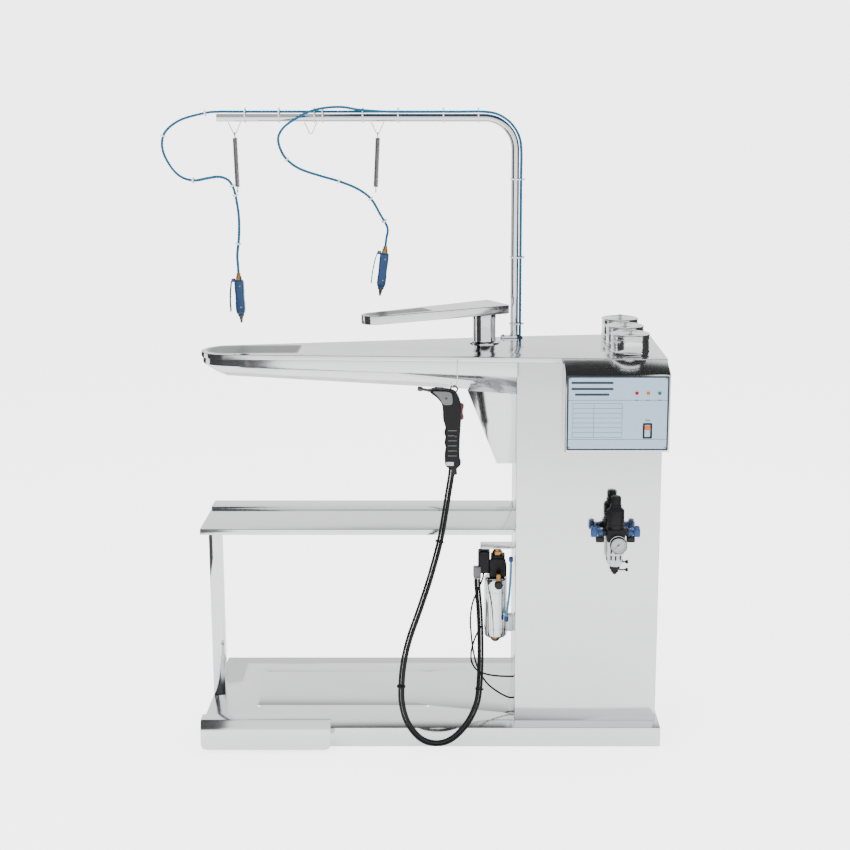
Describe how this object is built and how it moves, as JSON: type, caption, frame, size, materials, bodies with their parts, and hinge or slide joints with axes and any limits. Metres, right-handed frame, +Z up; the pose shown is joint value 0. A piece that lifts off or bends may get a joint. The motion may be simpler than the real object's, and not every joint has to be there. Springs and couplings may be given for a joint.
{
  "type": "stain-removal spotting table",
  "caption": "Free-standing steel spotting table: vacuum board, swivelling sleeve board, hanging spray guns on a gantry, a steam gun, reagent jars, control box, shelf and foot pedal.",
  "frame": {"origin": "on the floor, under the middle of the table's length and depth, with the free hoses left out", "axes": "+Z up, -Y towards the operator in front of the table, +X towards the column and control box"},
  "size_m": [1.2024, 0.4814, 1.5177],
  "materials": {
    "steel": "mirror-polished stainless sheet",
    "screen": "perforated stainless sheet",
    "chrome": "bright chrome",
    "zinc": "zinc-plated",
    "galvanised": "galvanised sheet",
    "aluminium": "plain",
    "blue_metal": "blue anodised",
    "blue_hose": "smooth blue twin hose",
    "cyan_hose": "smooth cyan tube",
    "black_rubber": "matte black",
    "black_plastic": "moulded black",
    "dark_metal": "dark grey",
    "red_button": "dark red",
    "red_lens": "red lens",
    "amber_lens": "amber lens",
    "green_lens": "green lens",
    "orange_lens": "orange lit rocker",
    "white_plastic": "white",
    "clear_bowl": "translucent"
  },
  "bodies": {
    "table": {"base_tray": "steel", "support_leg": "chrome", "lower_shelf": "steel", "column_shell": "steel", "column_rear_cover": "steel", "board_top": "steel", "board_screen": "screen", "vacuum_pan": "steel", "sleeve_post": "chrome", "gantry_pipe": "chrome", "arm_hook_left": "chrome", "arm_hook_middle": "chrome", "arm_hook_right": "chrome", "balance_spring_left": "zinc", "balance_spring_right": "zinc", "spray_hose_left": "blue_hose", "spray_hose_right": "blue_hose", "steam_hose": "black_rubber", "steam_cable": "black_rubber", "valve_cable": "black_rubber", "sensor_cable": "black_rubber", "spray_gun_left": "blue_metal", "spray_gun_right": "blue_metal", "spray_nozzle_left": "dark_metal", "spray_nozzle_right": "dark_metal", "steam_gun": "black_plastic", "steam_gun_nozzle": "dark_metal", "steam_gun_hook": "chrome", "control_box": "steel", "lamp_red": "red_lens", "lamp_amber": "amber_lens", "lamp_green": "green_lens", "filter_regulator": "black_plastic", "pressure_gauge": "white_plastic", "filter_bowl": "clear_bowl", "moisture_separator": "steel", "solenoid_valve": "black_plastic", "valve_tube": "cyan_hose", "blower_housing": "galvanised", "blower_motor": "dark_metal", "mains_inlet": "black_plastic"},
    "pedal": {"foot_pedal": "steel"},
    "damper": {"damper_flap": "galvanised"},
    "sleeve": {"sleeve_pan": "steel", "sleeve_top": "steel", "sleeve_screen": "screen"},
    "lever_left": {"spray_lever_left": "black_plastic"},
    "lever_right": {"spray_lever_right": "black_plastic"},
    "trigger": {"steam_gun_trigger": "red_button"},
    "jar_1": {"reagent_jar_1": "steel"},
    "jar_2": {"reagent_jar_2": "steel"},
    "jar_3": {"reagent_jar_3": "steel"},
    "lid_1": {"jar_lid_1": "steel"},
    "lid_2": {"jar_lid_2": "steel"},
    "lid_3": {"jar_lid_3": "steel"},
    "rocker": {"power_rocker": "orange_lens"},
    "knob": {"regulator_knob": "black_plastic"},
    "needle": {"gauge_needle": "black_plastic"},
    "drain": {"bowl_drain": "black_plastic"},
    "impeller": {"blower_impeller": "aluminium"}
  },
  "joints": [
    {"name": "pedal_press", "type": "hinge", "parent": "table", "child": "pedal", "pos_m": [-0.3905, -0.13825, 0.021], "axis": [1, 0, 0], "range_deg": [0, 6], "stiffness_Nm_per_rad": 4, "springref_deg": -17.19},
    {"name": "damper_turn", "type": "hinge", "parent": "table", "child": "damper", "pos_m": [0.21, -0.02325, 0.84], "axis": [0, -1, 0], "range_deg": [0, 45]},
    {"name": "sleeve_swivel", "type": "hinge", "parent": "table", "child": "sleeve", "pos_m": [0.1295, 0.03375, 1.045], "axis": [0, 0, 1], "range_deg": [-105, 90]},
    {"name": "spray_lever_left_squeeze", "type": "hinge", "parent": "table", "child": "lever_left", "pos_m": [-0.48773, 0.10075, 1.09416], "axis": [0, -1, 0], "range_deg": [0, 5], "stiffness_Nm_per_rad": 0.05, "springref_deg": -17.19},
    {"name": "spray_lever_right_squeeze", "type": "hinge", "parent": "table", "child": "lever_right", "pos_m": [-0.12876, 0.10075, 1.16288], "axis": [0, -1, 0], "range_deg": [0, 5], "stiffness_Nm_per_rad": 0.05, "springref_deg": -17.19},
    {"name": "steam_trigger_press", "type": "slide", "parent": "table", "child": "trigger", "axis": [-1, 0, 0], "range_m": [0, 0.003], "stiffness_N_per_m": 400, "springref_m": -0.004},
    {"name": "jar_1_lift", "type": "slide", "parent": "table", "child": "jar_1", "axis": [0, 0, 1], "range_m": [0, 0.05]},
    {"name": "jar_2_lift", "type": "slide", "parent": "table", "child": "jar_2", "axis": [0, 0, 1], "range_m": [0, 0.05]},
    {"name": "jar_3_lift", "type": "slide", "parent": "table", "child": "jar_3", "axis": [0, 0, 1], "range_m": [0, 0.05]},
    {"name": "lid_1_lift", "type": "slide", "parent": "jar_1", "child": "lid_1", "axis": [0, 0, 1], "range_m": [0, 0.08]},
    {"name": "lid_2_lift", "type": "slide", "parent": "jar_2", "child": "lid_2", "axis": [0, 0, 1], "range_m": [0, 0.08]},
    {"name": "lid_3_lift", "type": "slide", "parent": "jar_3", "child": "lid_3", "axis": [0, 0, 1], "range_m": [0, 0.08]},
    {"name": "power_rocker_tip", "type": "hinge", "parent": "table", "child": "rocker", "pos_m": [0.4932, -0.23625, 0.7978], "axis": [1, 0, 0], "range_deg": [-16, 0]},
    {"name": "regulator_turn", "type": "hinge", "parent": "table", "child": "knob", "pos_m": [0.4346, -0.16325, 0.5988], "axis": [0, 0, 1], "range_deg": [0, 720]},
    {"name": "needle_turn", "type": "hinge", "parent": "table", "child": "needle", "pos_m": [0.4386, -0.18455, 0.5138], "axis": [0, 1, 0], "range_deg": [0, 226]},
    {"name": "bowl_drain_turn", "type": "hinge", "parent": "table", "child": "drain", "pos_m": [0.4346, -0.16325, 0.449], "axis": [0, 0, 1], "range_deg": [0, 90]},
    {"name": "blower_spin", "type": "hinge", "parent": "table", "child": "impeller", "pos_m": [0.37275, -0.0105, 0.21], "axis": [0, 0, 1], "continuous": true}
  ],
  "couplings": [
    {"joint": "damper_turn", "follows": "pedal_press", "ratio": 7.5},
    {"joint": "needle_turn", "follows": "regulator_turn", "ratio": 0.3125}
  ]
}
